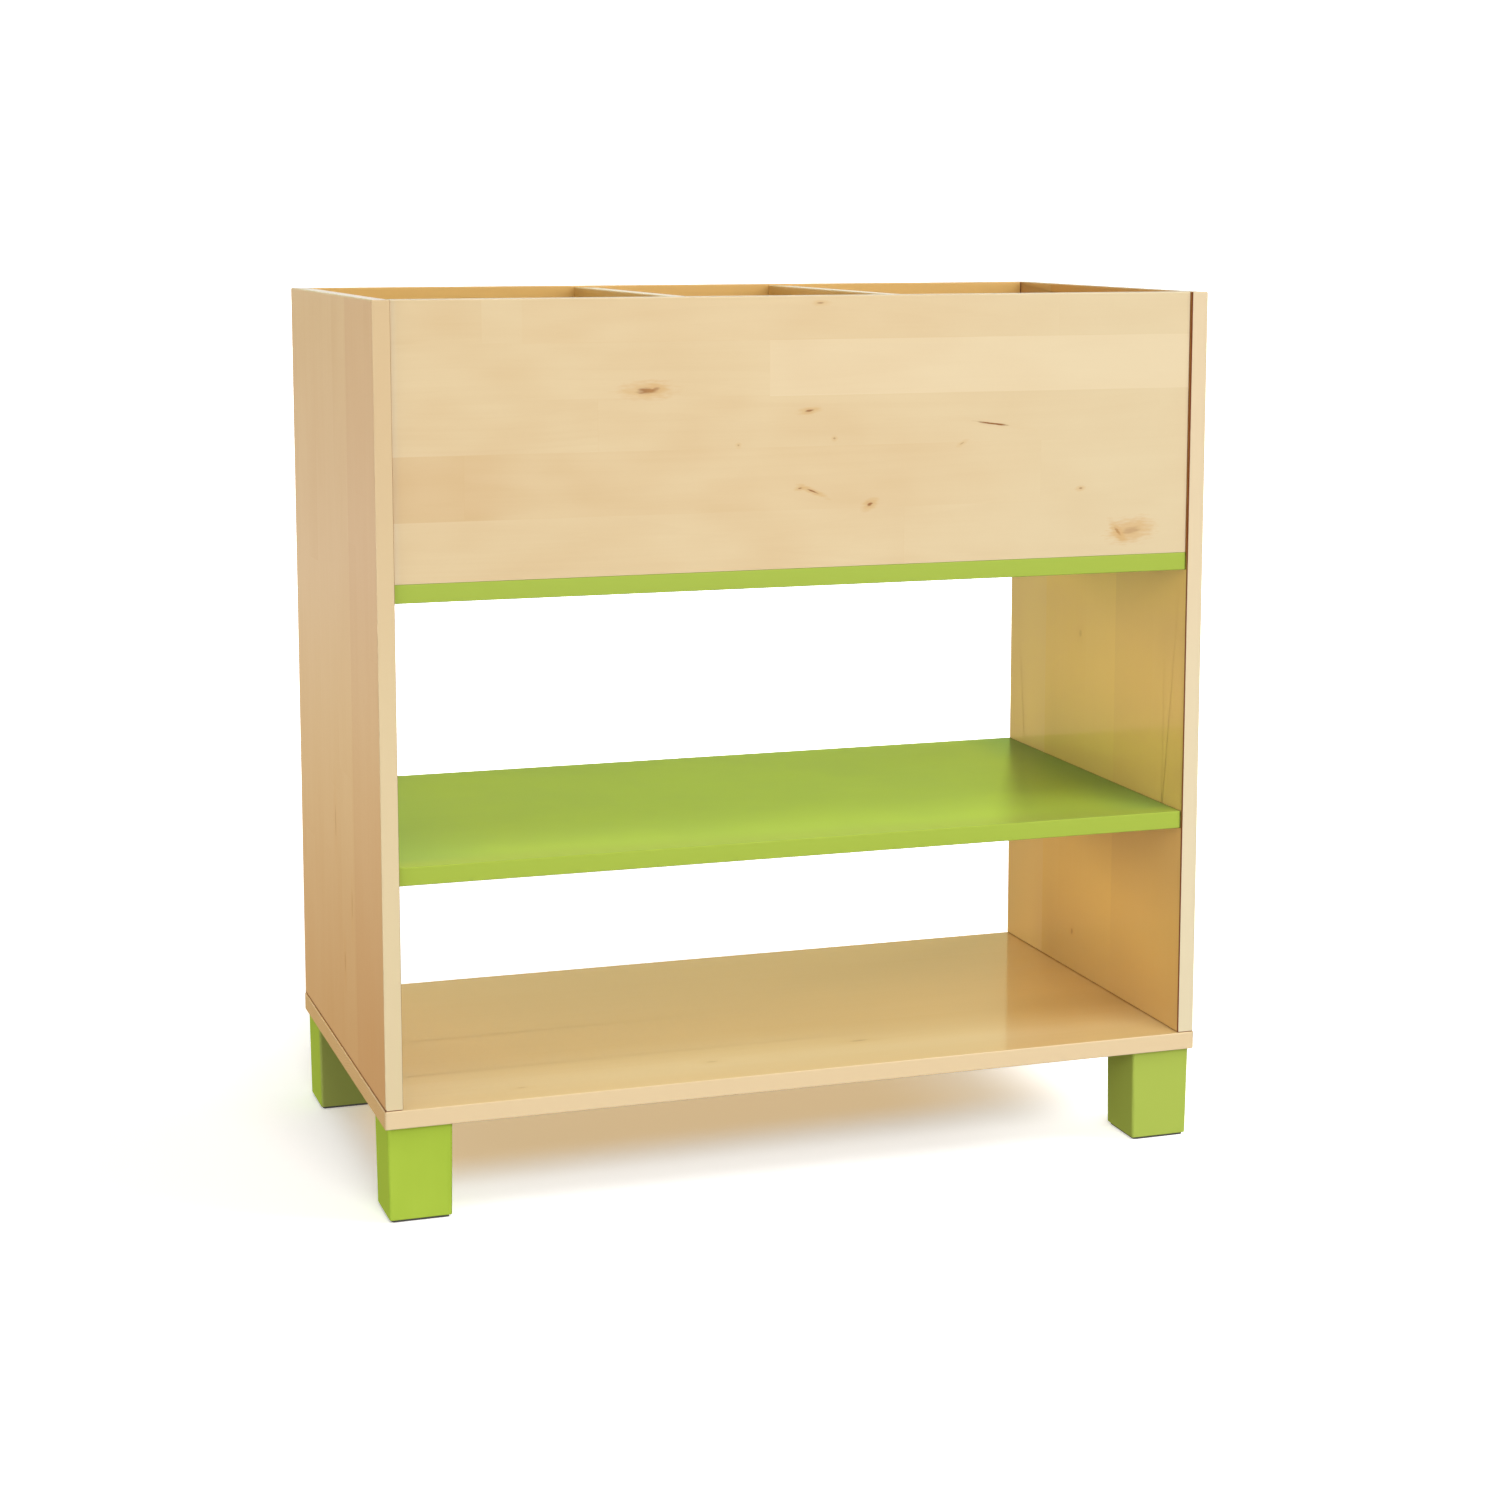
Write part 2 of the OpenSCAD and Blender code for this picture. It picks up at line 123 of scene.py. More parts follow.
class Paint:
    """The nodes of a material or of the world, and the one way in which they are made."""

    def __init__(self, owner):
        self.owner = owner
        owner.use_nodes = True
        self.tree = owner.node_tree
        self.tree.nodes.clear()

    def node(self, kind, settings=None, values=None, output=0):
        """Adds a node: first its settings, then the values or links of its sockets."""
        made = self.tree.nodes.new(kind)
        for name, value in (settings or {}).items():
            if name == "stops":
                self.set_stops(made.color_ramp, value)
            elif name == "interpolation":
                made.color_ramp.interpolation = value
            else:
                setattr(made, name, value)
        for name, value in (values or {}).items():
            if isinstance(value, Shade):
                self.tree.links.new(value.socket, made.inputs[name])
            else:
                made.inputs[name].default_value = value
        return Shade(self, made.outputs[output] if len(made.outputs) else None)

    def set_stops(self, ramp, stops):
        while len(ramp.elements) < len(stops):
            ramp.elements.new(1.0)
        for element, (position, colour) in zip(ramp.elements, stops):
            element.position = position
            element.color = colour

    def place(self):
        """Position on the piece in metres, and its three parts."""
        place = self.node("ShaderNodeTexCoord", output="Object")
        return place, self.split(place)

    def split(self, vector):
        parts = self.node("ShaderNodeSeparateXYZ", values={0: vector})
        return {"X": parts, "Y": parts.output("Y"), "Z": parts.output("Z")}

    def join(self, x, y, z):
        return self.node("ShaderNodeCombineXYZ", values={0: x, 1: y, 2: z})

    def colour_parts(self, colour):
        """Red, green and blue of a colour."""
        parts = self.node("ShaderNodeSeparateColor", values={0: colour})
        return parts, parts.output("Green"), parts.output("Blue")

    def stretch(self, vector, scale):
        return self.node("ShaderNodeVectorMath", {"operation": "MULTIPLY"}, {0: vector, 1: scale})

    def noise(self, vector, scale, detail=2.0, roughness=0.5):
        """Noise from 0 to 1. The scale is one number, or one for each axis, per metre."""
        if isinstance(scale, tuple):
            vector = self.stretch(vector, scale)
            scale = 1.0
        sockets = {"Vector": vector, "Scale": scale, "Detail": detail, "Roughness": roughness}
        return self.node("ShaderNodeTexNoise", values=sockets)

    def mix(self, factor, first, second, blend="MIX"):
        """Colour between two colours."""
        settings = {"data_type": "RGBA", "blend_type": blend}
        return self.node("ShaderNodeMix", settings, {0: factor, 6: first, 7: second}, output=2)

    def tinted(self, colour, tint):
        """Colour with its red, green and blue multiplied by the tint's."""
        return self.mix(1.0, colour, (*tint, 1.0), "MULTIPLY")

    def bump(self, height, distance, strength=1.0):
        """Normal from a height that is 0 to 1, over a real distance in metres."""
        sockets = {"Height": height, "Distance": distance, "Strength": strength}
        return self.node("ShaderNodeBump", values=sockets)

    def finish(self, **sockets):
        """Ends the material in a Principled shader with these sockets."""
        values = {name.replace("_", " "): value for name, value in sockets.items()}
        shader = self.node("ShaderNodeBsdfPrincipled", values=values)
        self.node("ShaderNodeOutputMaterial", values={"Surface": shader})
        return self.owner


def new_paint(name):
    return Paint(bpy.data.materials.new(name))


# Stains, painted light and shade, and joints. A window is an axis, where a soft passage on it starts and
# where it is full.
# A stain or a patch of painted light or shade has the windows that limit it, a colour and a strength. A
# joint has its windows alone.

JOINT_STRENGTH = 0.9


def cover_windows(parts, windows, strength):
    """Mask of the place that lies in all of these windows."""
    cover = strength
    for axis, low, high in windows:
        cover = parts[axis].step(low, high) * cover
    return cover


def add_stains_and_painted_light(paint, parts, colour, stains):
    """Stains parts of a piece and paints light and shade on others, one mark over the other."""
    for windows, mark_colour, strength in stains:
        colour = paint.mix(cover_windows(parts, windows, strength), colour, mark_colour)
    return colour


def draw_joints(paint, parts, colour, joints, joint_colour):
    """Draws the dark lines along which a board meets its neighbours: the joint itself, deepened with painted
    shade in its crevice.
    """
    return add_stains_and_painted_light(paint, parts, colour, [(windows, joint_colour, JOINT_STRENGTH) for windows in joints])


def dull_joints(parts, joints, gloss):
    """Coat that keeps its gloss but for the joints, which are matt."""
    for windows in joints:
        gloss = gloss * (1.0 - cover_windows(parts, windows, JOINT_STRENGTH))
    return gloss


# Joint windows. Their dark lines are the joints with painted shade in the crevices, and the strip of a side
# panel's inside face in front of the box front is painted shade.
LEFT_END = [("X", 1.7 * MM - PANEL_INNER, 1.0 * MM - PANEL_INNER)]
RIGHT_END = [("X", PANEL_INNER - 1.7 * MM, PANEL_INNER - 1.0 * MM)]
FOOT_LINE = [("Z", PANEL_FOOT + 1.3 * MM, PANEL_FOOT + 0.6 * MM)]
FOOT_BAND = ("Z", PANEL_FOOT + 3.2 * MM, PANEL_FOOT + 1.8 * MM)
LEFT_FOOT = [FOOT_BAND, ("X", 1.2 * MM - PANEL_OUTER, 0.6 * MM - PANEL_OUTER)]
RIGHT_FOOT = [FOOT_BAND, ("X", PANEL_OUTER - 1.2 * MM, PANEL_OUTER - 0.6 * MM)]
LEFT_INSIDE = ("X", -PANEL_INNER - 0.6 * MM, -PANEL_INNER - 0.2 * MM)
RIGHT_INSIDE = ("X", PANEL_INNER + 0.6 * MM, PANEL_INNER + 0.2 * MM)
FRONT_STEP = ("Y", BOX_FRONT - 0.6 * MM, BOX_FRONT - 1.2 * MM)
PANEL_EDGE = ("Y", PANEL_FRONT + 0.9 * MM, PANEL_FRONT + 0.5 * MM)
PANEL_SIDES = ("Y", PANEL_FRONT + 0.1 * MM, PANEL_FRONT + 0.5 * MM)
BOARD_EDGE = ("Y", BOARD_FRONT + 0.9 * MM, BOARD_FRONT + 0.5 * MM)
BOARD_TOP = ("Z", PANEL_FOOT - 1.0 * MM, PANEL_FOOT - 0.4 * MM)
SHELF_EDGE = ("Y", SHELF_FRONT + 1.5 * MM, SHELF_FRONT + 0.5 * MM)
SHELF_UPPER = ("Z", SHELF_TOP - 1.0 * MM, SHELF_TOP - 0.2 * MM)
BELOW_BOX = ("Z", 0.65, 0.64)


# Wood

PALE_WOOD = rgb(236, 216, 174)
HONEY_WOOD = rgb(214, 178, 126)
RING_BROWN = rgb(196, 152, 100)
KNOT_BROWN = rgb(146, 88, 32)
KNOT_HALO = rgb(212, 158, 84)
JOINT_SHADE_BROWN = rgb(120, 44, 12)
END_GRAIN = rgb(190, 150, 104)

# Staves vary in width by these shares, and up to this share of a board's first one is cut off
STAVE_WIDTH = 0.058
STAVE_LENGTH = 0.62
BOARD_STAVE_LENGTH = 0.84
NARROWEST_STAVE, WIDEST_STAVE = 0.85, 1.15
FIRST_STAVE_CUT = 0.6
GLUE_LINE = 0.5 * MM
RING_WIDTH = 2.6 * MM

# The tree's heart lies this far to twice as far below zero, on the axis through the board
HEART_PLACE = 0.05

# A knot's halo is so many times as long and as wide as its heart
HALO_SPREAD = (2.8, 3.4)
KNOT_WANDER = 1.1
MIDDLE_TONE = 0.42

# Scales of the noise in the wood, per metre: along the grain, across it and through the
# board. The haze over all staves takes a cloud's scales along X, Y and Z instead.
SWAY_SCALE = (1.6, 9.0, 9.0)
FIBRE_SCALE = (5.0, 260.0, 260.0)
BAND_SCALE = (2.2, 34.0, 34.0)
PORE_SCALE = (42.0, 1500.0, 1500.0)
KNOT_EDGE_SCALE = (90.0, 420.0, 420.0)
END_PORE_SCALE = (900.0, 900.0, 900.0)
CLOUD_SCALE = (11.0, 26.0, 26.0)
SIDE_CLOUD_SCALE = (4.0, 9.0, 9.0)
BOARD_CLOUD_SCALE = (5.0, 10.0, 10.0)
PEEL_SCALE = 240.0

# A stave's noise is moved by chance, up to so many metres along, across and through it. Its
# row, number and tone, times these, are the seed of that chance.
STAVE_OFFSETS = (9.0, 5.0, 7.0)
CHANCE_SEEDS = (91.7, 7.31, 53.1)

COAT = {"Coat_Roughness": 0.11, "Coat_IOR": 1.45}
BOARD_GLOSS = 0.9
BOARD_RELIEF = 0.04 * MM


def stave_rows(width, seed):
    """Rows of staves across a board: where each starts, and three numbers of its own."""
    draw = random.Random(seed)
    rows = []
    start = -draw.uniform(0.0, FIRST_STAVE_CUT) * STAVE_WIDTH
    while start < width:
        rows.append((max(start, 0.0), draw.random(), draw.random(), draw.random()))
        start += STAVE_WIDTH * draw.uniform(NARROWEST_STAVE, WIDEST_STAVE)
    return rows


def find_stave(paint, along, across, width, length, rows):
    """The stave of a point: three numbers by chance, place across the stave and mask of its glue lines."""
    stops = [(start / width, (key, joint, tone, start)) for start, key, joint, tone in rows]
    settings = {"interpolation": "CONSTANT", "stops": stops}
    row = paint.node("ShaderNodeValToRGB", settings, {0: across / width})
    key, joint, tone = paint.colour_parts(row)
    inside = across - row.output("Alpha")
    run = along / length - joint
    number = run.floor()
    lot = paint.join(*[part * scale for part, scale in zip((key, number, tone), CHANCE_SEEDS)])
    settings = {"noise_dimensions": "3D"}
    chance = paint.node("ShaderNodeTexWhiteNoise", settings, {"Vector": lot}, output="Color")
    ends = abs((run - number) - 0.5)
    glue = inside.step(GLUE_LINE, 0.0) + ends.step(0.5 - GLUE_LINE / length, 0.5)
    return paint.colour_parts(chance), inside, glue


def growth_rings(paint, local, inside, thick, chances, fine):
    """Mask of the rings' dark side. They go round the tree's heart, a line along the grain."""
    sway, dip, _ = paint.colour_parts(paint.noise(local, SWAY_SCALE, 1.0).output("Color"))
    side = inside - STAVE_WIDTH / 2 + chances[0].swing(0.05) + sway.swing(0.022)
    depth = thick + HEART_PLACE + chances[1] * HEART_PLACE + dip.swing(0.03)
    radius = (side * side + depth * depth) ** 0.5
    ring = (radius / RING_WIDTH + fine.swing(0.9)).fraction()
    return ring.step(0.25, 0.95) * ring.step(1.0, 0.95)


def knot_mask(along, across, outline, spread, wander):
    """Mask of a knot, so many times as long and as wide as its outline, with a wandering edge."""
    place_along, place_across, half_length, half_width, slope = outline
    run = along - place_along
    rise = across - place_across - run * slope
    far = ((run / (half_length * spread[0])) ** 2 + (rise / (half_width * spread[1])) ** 2) ** 0.5
    return (far + wander).step(1.15, 0.35)


def add_knots(paint, local, along, across, colour, pit, knots):
    """Paints the knots, each a dark heart in a stained halo, and sinks their hearts a little."""
    if not knots:
        return colour, pit
    wander = paint.noise(local, KNOT_EDGE_SCALE, 2.0).swing(KNOT_WANDER)
    for *outline, heart_strength, halo_strength in knots:
        heart = knot_mask(along, across, outline, (1.0, 1.0), wander) * heart_strength
        halo = knot_mask(along, across, outline, HALO_SPREAD, wander) * halo_strength
        colour = paint.mix(halo, colour, KNOT_HALO)
        colour = paint.mix(heart, colour, KNOT_BROWN)
        pit = pit + heart * 0.4
    return colour, pit


def show_end_grain(paint, local, grain, ring, colour):
    """Darkens the staves' ends with rings and pores. Returns the colour and a mask of the ends."""
    facing = paint.split(paint.node("ShaderNodeTexCoord", output="Normal"))[grain]
    end = abs(facing).step(0.6, 0.9)
    pores = paint.noise(local, END_PORE_SCALE, 1.0).step(0.55, 0.75)
    end_colour = paint.mix(ring * 0.35 + pores * 0.3, colour, END_GRAIN)
    return paint.mix(end * 0.75, colour, end_colour), end


def board_wood(name, axes, start, width, seed, length=STAVE_LENGTH, rows=None, knots=(), stains=(),
               joints=(), cloudy=CLOUD_SCALE, warmth=0.0, tint=(1.0, 1.0, 1.0)):
    """Clear-lacquered board of glued staves, with its axes along and across the grain and through it.

    Across the grain, the board has its start and its width. The length is that of a stave.
    """
    paint = new_paint(name)
    place, parts = paint.place()
    along, across, thick = [parts[axis] for axis in axes]
    rows = rows or stave_rows(width, seed)
    chances, inside, glue = find_stave(paint, along, across - start, width, length, rows)
    moves = [chance * offset for chance, offset in zip(chances, STAVE_OFFSETS)]
    local = paint.join(along + moves[0], across + moves[1], thick + moves[2])

    fine = paint.noise(local, FIBRE_SCALE, 3.0, 0.6)
    broad = paint.noise(local, BAND_SCALE, 1.0)
    pores = paint.noise(local, PORE_SCALE, 2.0, 0.6)
    cloud = paint.noise(local, cloudy, 1.5, 0.45)
    haze = paint.noise(place, cloudy, 1.5, 0.45)
    ring = growth_rings(paint, local, inside, thick, chances, fine)
    tone = chances[2].swing(0.06) + (MIDDLE_TONE + warmth)
    tone = tone + broad.swing(0.08) + cloud.swing(0.24) + haze.swing(0.26) + fine.swing(0.05)

    colour = paint.mix(tone.step(0.0, 1.0), PALE_WOOD, HONEY_WOOD)
    colour = paint.mix(ring * (0.015 + broad * 0.035), colour, RING_BROWN)
    colour = paint.mix(pores.step(0.58, 0.78) * 0.04, colour, RING_BROWN)
    colour = paint.mix(glue * 0.08, colour, KNOT_HALO)
    colour = add_stains_and_painted_light(paint, parts, colour, stains)
    colour, pit = add_knots(paint, local, along, across, colour, glue * 0.5, knots)
    colour, end = show_end_grain(paint, local, axes[0], ring, colour)
    colour = draw_joints(paint, parts, paint.tinted(colour, tint), joints, JOINT_SHADE_BROWN)
    orange_peel = paint.noise(place, PEEL_SCALE, 1.0)
    height = fine * 0.35 + pores * 0.35 + orange_peel * 0.5 - pit - ring * 0.1
    return paint.finish(
        Base_Color=colour,
        Roughness=0.45 + fine.swing(0.08) + end * 0.12 + pit * 0.1,
        Normal=paint.bump(height, BOARD_RELIEF, 0.25),
        Specular_IOR_Level=0.25,
        Coat_Weight=dull_joints(parts, joints, BOARD_GLOSS),
        **COAT,
    )


# Marks of the seven boards. A knot has its place along and across the grain, half its length and
# width, its slope, and the strengths of its heart and halo. The box front's rows of staves have a
# start above the box floor, a number of their own, the place of an end joint and another number.

FRONT_ROWS = [
    (0.0, 0.31, 0.17, 0.40),
    (0.0607, 0.72, 0.419, 0.62),
    (0.1253, 0.12, 0.64, 0.35),
    (0.1778, 0.93, 0.9327, 0.55),
    (0.2344, 0.47, 0.45, 0.45),
]
FRONT_KNOTS = [
    (-0.1717, 0.8368, 0.0125, 0.0032, 0.0, 0.80, 0.36),
    (-0.163, 0.8385, 0.005, 0.002, 0.15, 0.50, 0.23),
    (0.0003, 0.8128, 0.0055, 0.0013, 0.12, 0.85, 0.38),
    (-0.0092, 0.7336, 0.0026, 0.0009, 0.1, 0.75, 0.34),
    (0.0045, 0.7302, 0.0065, 0.0011, -0.42, 0.85, 0.38),
    (0.0673, 0.7146, 0.0036, 0.0020, 0.3, 0.90, 0.41),
    (0.204, 0.7950, 0.0220, 0.0013, -0.145, 1.00, 0.04),
    (0.3062, 0.7241, 0.0024, 0.0012, 0.0, 0.60, 0.27),
    (0.3500, 0.6768, 0.0042, 0.0028, -0.9, 0.62, 0.34),
    (0.3665, 0.6772, 0.0110, 0.0044, 0.12, 0.30, 0.46),
    (0.0125, 0.9224, 0.0042, 0.0010, 0.0, 0.55, 0.25),
    (-0.0756, 0.7793, 0.0015, 0.0012, 0.0, 0.40, 0.18),
    (0.1697, 0.7751, 0.0030, 0.0010, 0.5, 0.35, 0.16),
    (0.0281, 0.7839, 0.0014, 0.0012, 0.0, 0.45, 0.20),
]
LEFT_KNOTS = [
    (0.366, 0.0169, 0.020, 0.0045, 0.0, 0.35, 0.16),
    (0.2941, -0.0716, 0.018, 0.0030, 0.0, 0.30, 0.14),
    (0.2205, -0.0251, 0.014, 0.0030, 0.0, 0.35, 0.16),
]
RIGHT_KNOTS = [
    (0.1661, 0.0441, 0.0040, 0.0030, 0.0, 0.45, 0.20),
    (0.5258, 0.0330, 0.0050, 0.0040, 0.0, 0.22, 0.10),
]
BOARD_KNOTS = [
    (0.0885, -0.1503, 0.0120, 0.0030, 0.0, 0.30, 0.14),
    (-0.0871, -0.1740, 0.0070, 0.0030, 0.0, 0.22, 0.10),
    (-0.3006, -0.1981, 0.0070, 0.0030, 0.0, 0.22, 0.10),
]


SHARP_SIDE = 0.4 * MM


def between(axis, low, high):
    """Windows of a stave, with sharp sides."""
    return [(axis, low - SHARP_SIDE, low), (axis, high + SHARP_SIDE, high)]


# Warm orange on the faces inside the box: painted bounce light.
BOX_BOUNCE_LIGHT = rgb(240, 192, 104)
SECOND_STAVE = between("Z", 0.7117, 0.7763)
FRONT_STAINS_AND_PAINTED_LIGHT = [
    # Lighter towards the right end: painted light.
    ([("X", -0.05, 0.40)], rgb(228, 211, 172), 0.50),
    # Paler along the left end: painted light over the shade of the side panel's step.
    ([("X", -0.4235, -0.4300)], rgb(255, 246, 214), 0.18),
    ([("X", -0.0421, -0.0417), *between("Z", 0.8288, 0.8855)], rgb(244, 226, 190), 0.30),
    ([("X", -0.28, -0.36), *SECOND_STAVE], rgb(210, 166, 108), 0.27),
    ([("X", 0.35, 0.10), *SECOND_STAVE], rgb(216, 178, 124), 0.12),
    ([("X", -0.3004, -0.30), ("X", 0.35, 0.10), ("Z", 0.8851, 0.8855)], rgb(222, 184, 132), 0.10),
]
LEFT_STAINS_AND_PAINTED_LIGHT = [
    # Deeper and redder towards the foot: painted shade.
    ([("Z", 0.52, 0.16)], rgb(196, 146, 116), 0.30),
    # Darker and pinker towards the top.
    ([("Z", 0.50, 0.85)], rgb(200, 164, 134), 0.30),
    # Inside face in warm honey: painted bounce light.
    ([LEFT_INSIDE], rgb(232, 200, 116), 0.65),
    ([PANEL_SIDES, ("Y", -0.0886, -0.0890)], rgb(204, 156, 120), 0.32),
    # Front edge paler, and paler still towards the foot.
    ([PANEL_EDGE], rgb(203, 187, 145), 0.85),
    ([PANEL_EDGE, ("Z", 0.85, 0.25)], rgb(217, 209, 170), 0.90),
]
RIGHT_STAINS_AND_PAINTED_LIGHT = [
    # Inside face in warm honey: painted bounce light.
    ([RIGHT_INSIDE], rgb(236, 196, 100), 0.80),
    # Deeper orange inside the box: painted shade with warm bounce light.
    ([RIGHT_INSIDE, ("Z", 0.64, 0.65)], rgb(214, 138, 56), 0.60),
    # Olive just above the shelf: painted green bounce light from the shelf.
    ([RIGHT_INSIDE, ("Z", 0.50, 0.38), ("Z", 0.360, 0.367)], rgb(174, 170, 89), 0.35),
    # Darker towards the foot of the lower compartment: painted shade.
    ([RIGHT_INSIDE, ("Z", 0.25, 0.12)], rgb(201, 162, 97), 0.85),
    # Lighter just under the box floor: painted light.
    ([RIGHT_INSIDE, ("Z", 0.55, 0.62), BELOW_BOX], rgb(252, 215, 106), 0.80),
    # Lighter towards the rear under the box: painted light through the open back.
    ([RIGHT_INSIDE, ("Y", 0.10, 0.18), BELOW_BOX], rgb(246, 213, 127), 0.70),
    # Front edge paler, and paler still towards the foot.
    ([PANEL_EDGE], rgb(216, 203, 171), 0.85),
    ([PANEL_EDGE, ("Z", 0.85, 0.25)], rgb(224, 216, 184), 0.90),
    # Darker in front of Y = -0.06 and paler behind Y = 0.13, with sharp sides.
    ([PANEL_SIDES, ("Y", -0.0596, -0.0600)], rgb(206, 160, 100), 0.20),
    ([("Y", 0.1296, 0.1300)], rgb(232, 204, 150), 0.30),
]
BOARD_STAINS_AND_PAINTED_LIGHT = [
    # Deeper orange towards the rear of the top: painted shade under the shelf.
    ([BOARD_TOP, ("Y", -0.235, -0.06)], rgb(232, 180, 100), 0.80),
    # A honey tone over the front strip of the top.
    ([BOARD_TOP, ("Y", -0.16, -0.225)], rgb(212, 177, 123), 0.80),
    # Darker by the right panel's foot: painted shade.
    ([BOARD_TOP, ("X", 0.20, 0.36), ("Y", -0.02, -0.10), ("Y", -0.225, -0.14)], rgb(202, 160, 96), 0.48),
    # A paler, bluer patch at the front right of the top.
    ([BOARD_TOP, ("X", 0.24, 0.40), ("Y", -0.12, -0.22)], rgb(211, 187, 129), 0.50),
    # Front edge paler.
    ([BOARD_EDGE], rgb(228, 209, 170), 0.85),
]
BACK_PAINTED_BOUNCE_LIGHT = [
    ([("Y", 0.2165, 0.2163)], BOX_BOUNCE_LIGHT, 0.85),
]
DIVIDER_PAINTED_BOUNCE_LIGHT = [
    ([("Z", 0.94, 0.92)], BOX_BOUNCE_LIGHT, 0.85),
]


def paint_boards(nodes):
    """Clear lacquer on the seven boards that aren't green."""
    side = {"axes": "ZYX", "start": PANEL_FRONT, "width": PANEL_DEPTH}
    side.update(cloudy=SIDE_CLOUD_SCALE, warmth=0.05)
    box = {"axes": "XZY", "start": BOX_FOOT, "width": BOX_HEIGHT}
    divider = {"axes": "YZX", "start": BOX_FOOT, "width": DIVIDER_HEIGHT}
    divider.update(stains=DIVIDER_PAINTED_BOUNCE_LIGHT, warmth=0.05, tint=(1.0, 0.95, 0.85))
    woods = {
        "left_side_panel": board_wood(
            "left_side_wood", seed=11, knots=LEFT_KNOTS, stains=LEFT_STAINS_AND_PAINTED_LIGHT,
            joints=[FOOT_LINE, LEFT_FOOT, [FRONT_STEP, LEFT_INSIDE]], tint=(1.06, 0.97, 0.94), **side,
        ),
        "right_side_panel": board_wood(
            "right_side_wood", seed=23, knots=RIGHT_KNOTS, stains=RIGHT_STAINS_AND_PAINTED_LIGHT,
            joints=[FOOT_LINE, RIGHT_FOOT, [FRONT_STEP, RIGHT_INSIDE]], tint=(1.02, 0.97, 0.93), **side,
        ),
        "bottom_board": board_wood(
            "bottom_board_wood", "XYZ", BOARD_FRONT, BOARD_DEPTH, seed=37,
            length=BOARD_STAVE_LENGTH, knots=BOARD_KNOTS, stains=BOARD_STAINS_AND_PAINTED_LIGHT,
            cloudy=BOARD_CLOUD_SCALE, tint=(1.0, 0.96, 0.92),
        ),
        "box_front_panel": board_wood(
            "box_front_wood", seed=41, rows=FRONT_ROWS, knots=FRONT_KNOTS, stains=FRONT_STAINS_AND_PAINTED_LIGHT,
            joints=[RIGHT_END], tint=(0.88, 0.89, 0.885), **box,
        ),
        "box_back_panel": board_wood(
            "box_back_wood", seed=53, stains=BACK_PAINTED_BOUNCE_LIGHT, joints=[LEFT_END, RIGHT_END],
            tint=(0.98, 0.98, 1.0), **box,
        ),
        "left_divider": board_wood("left_divider_wood", seed=67, **divider),
        "right_divider": board_wood("right_divider_wood", seed=79, **divider),
    }
    for node, wood in woods.items():
        dress(nodes[node], wood)


# Green lacquer

GREEN = rgb(168, 200, 66)
GREEN_LIGHT = rgb(174, 206, 72)
GREEN_DEEP = rgb(162, 194, 62)
EDGE_GREEN = rgb(160, 184, 66)
JOINT_SHADE_GREEN = rgb(62, 70, 26)
CORNER_SHADE_GREEN = rgb(116, 166, 80)
SHELF_PAINTED_SHADE = [
    # Front edge a little darker: painted shade.
    ([SHELF_EDGE], EDGE_GREEN, 0.9),
    # Darker front strip of the top: painted shade.
    ([SHELF_UPPER, ("Y", -0.17, -0.225)], rgb(157, 181, 66), 0.80),
    # Painted shade along the right side panel.
    ([SHELF_UPPER, ("X", 0.34, 0.43), ("Y", -0.229, -0.19)], CORNER_SHADE_GREEN, 0.70),
    # Fainter painted shade along the left side panel.
    ([SHELF_UPPER, ("X", -0.28, -0.43), ("Y", -0.229, -0.19)], CORNER_SHADE_GREEN, 0.40),
]
LEG_PAINTED_BOUNCE_LIGHT = [
    # Right legs greyer and bluer: painted floor bounce light.
    ([("X", 0.10, 0.20)], rgb(168, 192, 79), 1.0),
    # Front faces of the rear legs greyer and bluer in their shade: painted floor bounce light.
    ([("Y", 0.1650, 0.1640), ("Y", 0.10, 0.12)], rgb(168, 182, 91), 0.9),
]
GREEN_CLOUD_SCALE = 9.0
GREEN_PEEL_SCALE = 300.0
GREEN_RELIEF = 0.05 * MM
ALONG_X = (5.0, 170.0, 170.0)
ALONG_Z = (170.0, 170.0, 5.0)


def green_lacquer(name, grain_scale, gloss, shine, tint, stains, joints=()):
    """Opaque green lacquer, through which the wood's grain shows as faint relief."""
    paint = new_paint(name)
    place, parts = paint.place()
    cloud = paint.noise(place, GREEN_CLOUD_SCALE)
    grain = paint.noise(place, grain_scale, 3.0, 0.6)
    peel = paint.noise(place, GREEN_PEEL_SCALE, 1.0)
    colour = paint.mix(cloud.step(0.3, 0.7), GREEN_DEEP, GREEN)
    colour = paint.mix(grain.step(0.4, 0.8) * 0.12, colour, GREEN_LIGHT)
    colour = add_stains_and_painted_light(paint, parts, colour, stains)
    colour = draw_joints(paint, parts, colour, joints, JOINT_SHADE_GREEN)
    return paint.finish(
        Base_Color=paint.tinted(colour, tint),
        Roughness=0.45 + cloud.swing(0.10) + grain.swing(0.06),
        Normal=paint.bump(grain * 0.25 + peel * 0.5, GREEN_RELIEF, 0.5),
        Specular_IOR_Level=shine,
        Coat_Weight=gloss,
        **COAT,
    )


# Metal, dowels and glides, with the scales of their noise per metre

SPANGLE_SCALE = 900.0
TARNISH_SCALE = 260.0
TURNING_SCALE = (300.0, 300.0, 4000.0)
CASTING_SCALE = 1400.0
CASTING_CLOUD_SCALE = 180.0
BEECH_SCALE = (500.0, 500.0, 60.0)
FLECK_SCALE = (1500.0, 1500.0, 300.0)
NYLON_SCALE = 1800.0
SCUFF_SCALE = (60.0, 300.0, 60.0)
PLATE_RELIEF = 0.04 * MM
CAST_RELIEF = 0.08 * MM
BEECH_RELIEF = 0.1 * MM


